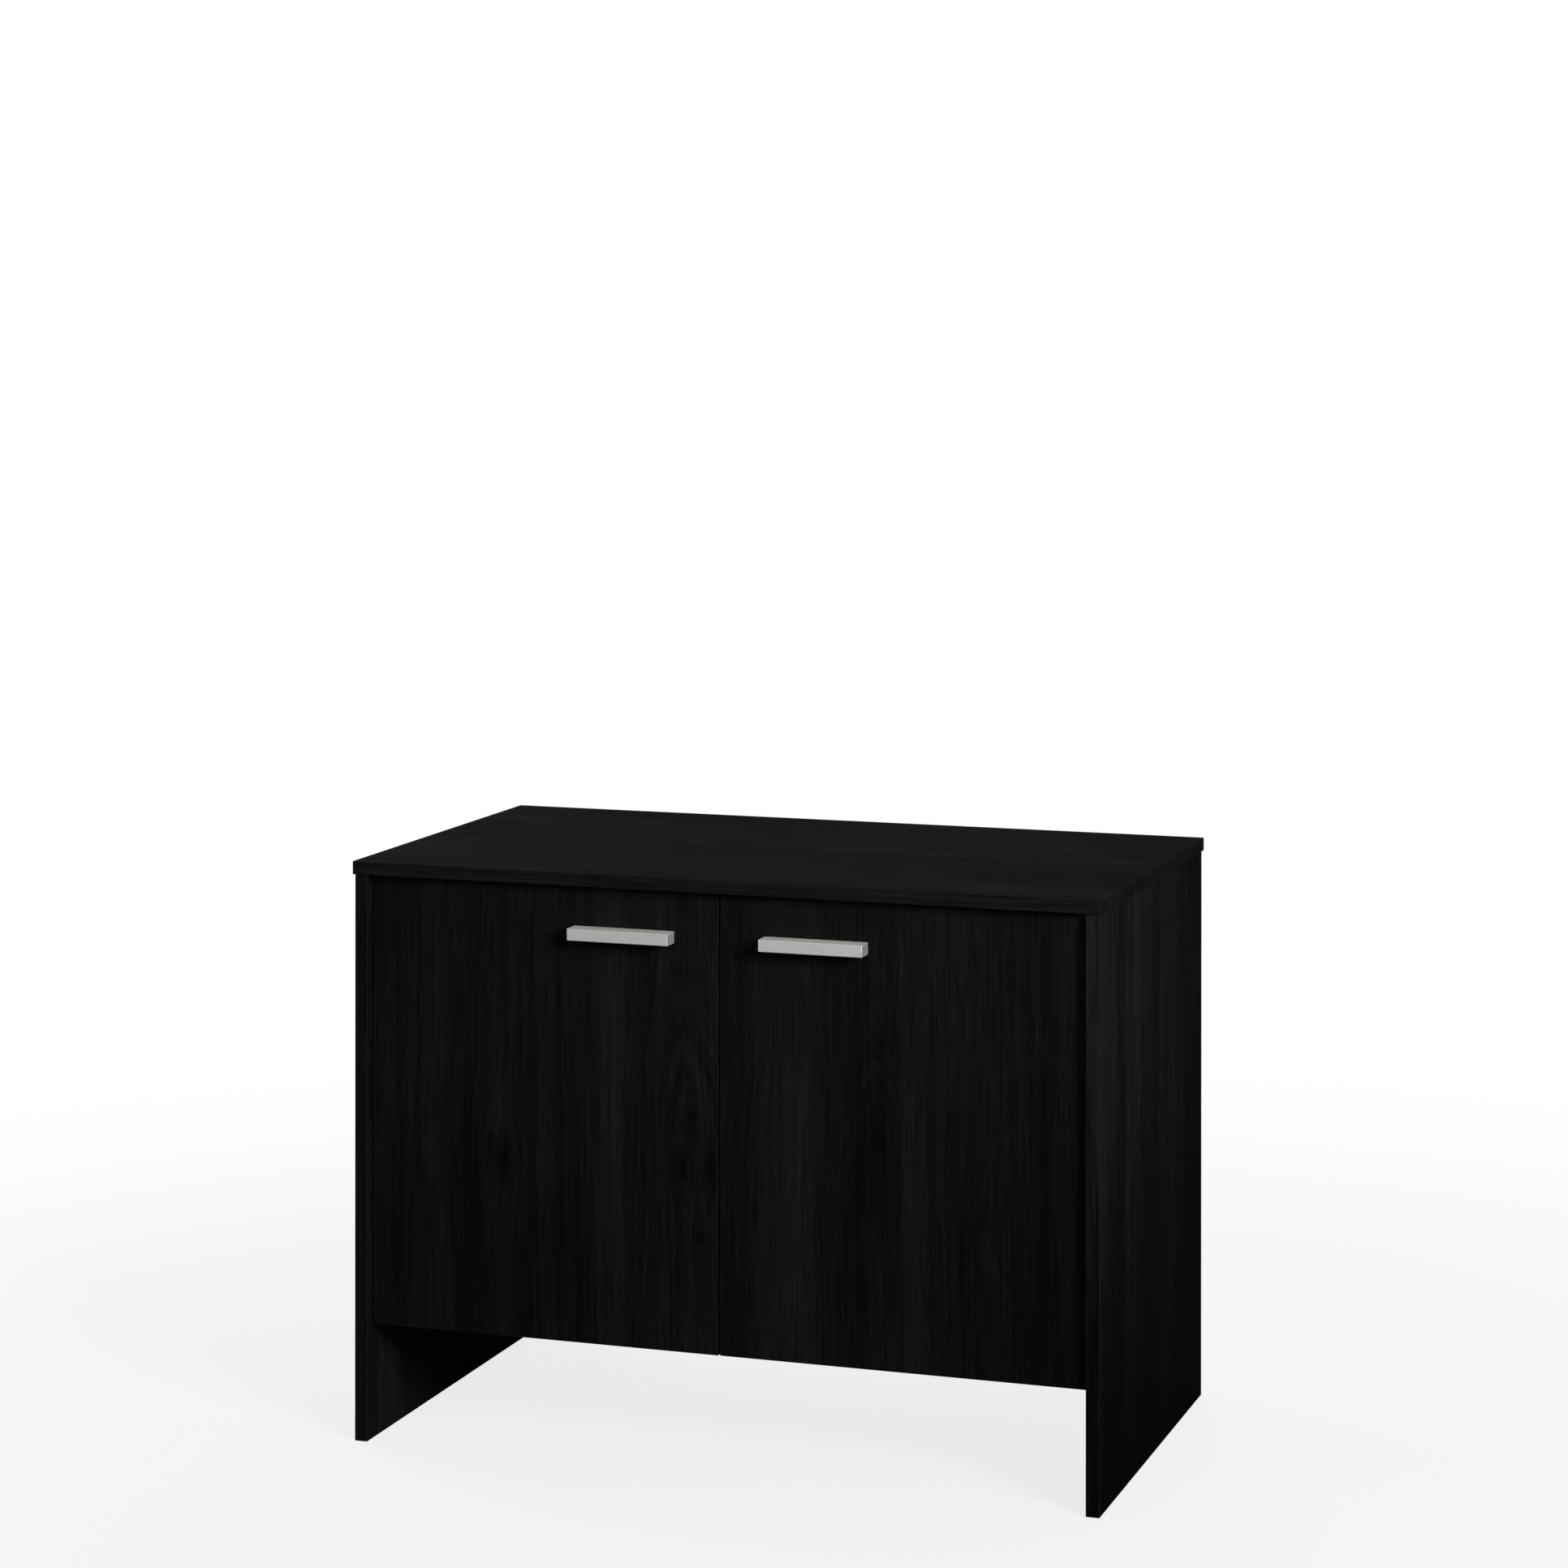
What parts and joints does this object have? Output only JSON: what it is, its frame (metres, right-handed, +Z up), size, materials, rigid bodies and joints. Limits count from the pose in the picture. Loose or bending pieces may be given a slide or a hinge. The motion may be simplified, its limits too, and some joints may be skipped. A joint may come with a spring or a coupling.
{
  "type": "aquarium stand cabinet",
  "caption": "Low two-door board cabinet that carries an aquarium or vivarium: side panels run down as legs, inset doors on concealed hinges, adjustable shelves.",
  "frame": {"origin": "on the floor, in the middle of the outline from the handles' front faces to the top panel's rear edge", "axes": "+Z up, +X to the right of a person facing the doors, +Y from the doors to the rear"},
  "size_m": [0.862, 0.498, 0.65],
  "materials": {
    "melamine_board": "black wood-grain melamine, low sheen",
    "back_board": "black-faced hardboard, matt",
    "handle_metal": "brushed satin with bright edges",
    "hinge_steel": "nickel-plated, bright",
    "cam_zinc": "die-cast zinc, dull",
    "pin_steel": "nickel-plated, satin",
    "bumper_rubber": "clear soft polymer"
  },
  "bodies": {
    "carcass": {"top_panel": "melamine_board", "side_panel_left": "melamine_board", "side_panel_right": "melamine_board", "base_panel": "melamine_board", "centre_divider": "melamine_board", "back_panel": "back_board", "shelf_left": "melamine_board", "shelf_right": "melamine_board", "cam_lock_left_top_front": "cam_zinc", "cam_lock_left_top_rear": "cam_zinc", "cam_lock_left_base_front": "cam_zinc", "cam_lock_left_base_rear": "cam_zinc", "cam_lock_right_top_front": "cam_zinc", "cam_lock_right_top_rear": "cam_zinc", "cam_lock_right_base_front": "cam_zinc", "cam_lock_right_base_rear": "cam_zinc", "cam_lock_divider_top_front": "cam_zinc", "cam_lock_divider_top_rear": "cam_zinc", "cam_lock_divider_base_front": "cam_zinc", "cam_lock_divider_base_rear": "cam_zinc", "shelf_pin_left_outer_front": "pin_steel", "shelf_pin_left_outer_rear": "pin_steel", "shelf_pin_left_inner_front": "pin_steel", "shelf_pin_left_inner_rear": "pin_steel", "shelf_pin_right_outer_front": "pin_steel", "shelf_pin_right_outer_rear": "pin_steel", "shelf_pin_right_inner_front": "pin_steel", "shelf_pin_right_inner_rear": "pin_steel", "hinge_plate_left_lower": "hinge_steel", "hinge_plate_left_upper": "hinge_steel", "hinge_plate_right_lower": "hinge_steel", "hinge_plate_right_upper": "hinge_steel", "hinge_arm_left_lower": "hinge_steel", "hinge_arm_left_upper": "hinge_steel", "hinge_arm_right_lower": "hinge_steel", "hinge_arm_right_upper": "hinge_steel", "hinge_pin_left_lower": "hinge_steel", "hinge_pin_left_upper": "hinge_steel", "hinge_pin_right_lower": "hinge_steel", "hinge_pin_right_upper": "hinge_steel"},
    "left_door": {"door_left": "melamine_board", "handle_left": "handle_metal", "handle_screw_left_a": "hinge_steel", "handle_screw_left_b": "hinge_steel", "door_bumper_left_upper": "bumper_rubber", "door_bumper_left_lower": "bumper_rubber", "hinge_cup_left_lower": "hinge_steel", "hinge_cup_left_upper": "hinge_steel"},
    "right_door": {"door_right": "melamine_board", "handle_right": "handle_metal", "handle_screw_right_a": "hinge_steel", "handle_screw_right_b": "hinge_steel", "door_bumper_right_upper": "bumper_rubber", "door_bumper_right_lower": "bumper_rubber", "hinge_cup_right_lower": "hinge_steel", "hinge_cup_right_upper": "hinge_steel"},
    "left_hinge_links": {"hinge_link_left_lower": "hinge_steel", "hinge_link_left_upper": "hinge_steel"},
    "right_hinge_links": {"hinge_link_right_lower": "hinge_steel", "hinge_link_right_upper": "hinge_steel"}
  },
  "joints": [
    {"name": "left_door_swing", "type": "hinge", "parent": "carcass", "child": "left_door", "pos_m": [-0.412, -0.2265, 0.381], "axis": [0, 0, -1], "range_deg": [0, 95]},
    {"name": "left_hinge_link_turn", "type": "hinge", "parent": "carcass", "child": "left_hinge_links", "pos_m": [-0.3975, -0.21, 0.381], "axis": [0, 0, -1], "range_deg": [0, 52]},
    {"name": "right_door_swing", "type": "hinge", "parent": "carcass", "child": "right_door", "pos_m": [0.412, -0.2265, 0.381], "axis": [0, 0, 1], "range_deg": [0, 95]},
    {"name": "right_hinge_link_turn", "type": "hinge", "parent": "carcass", "child": "right_hinge_links", "pos_m": [0.3975, -0.21, 0.381], "axis": [0, 0, 1], "range_deg": [0, 52]}
  ],
  "couplings": [
    {"joint": "left_hinge_link_turn", "follows": "left_door_swing", "ratio": 0.53684},
    {"joint": "right_hinge_link_turn", "follows": "right_door_swing", "ratio": 0.53684}
  ]
}
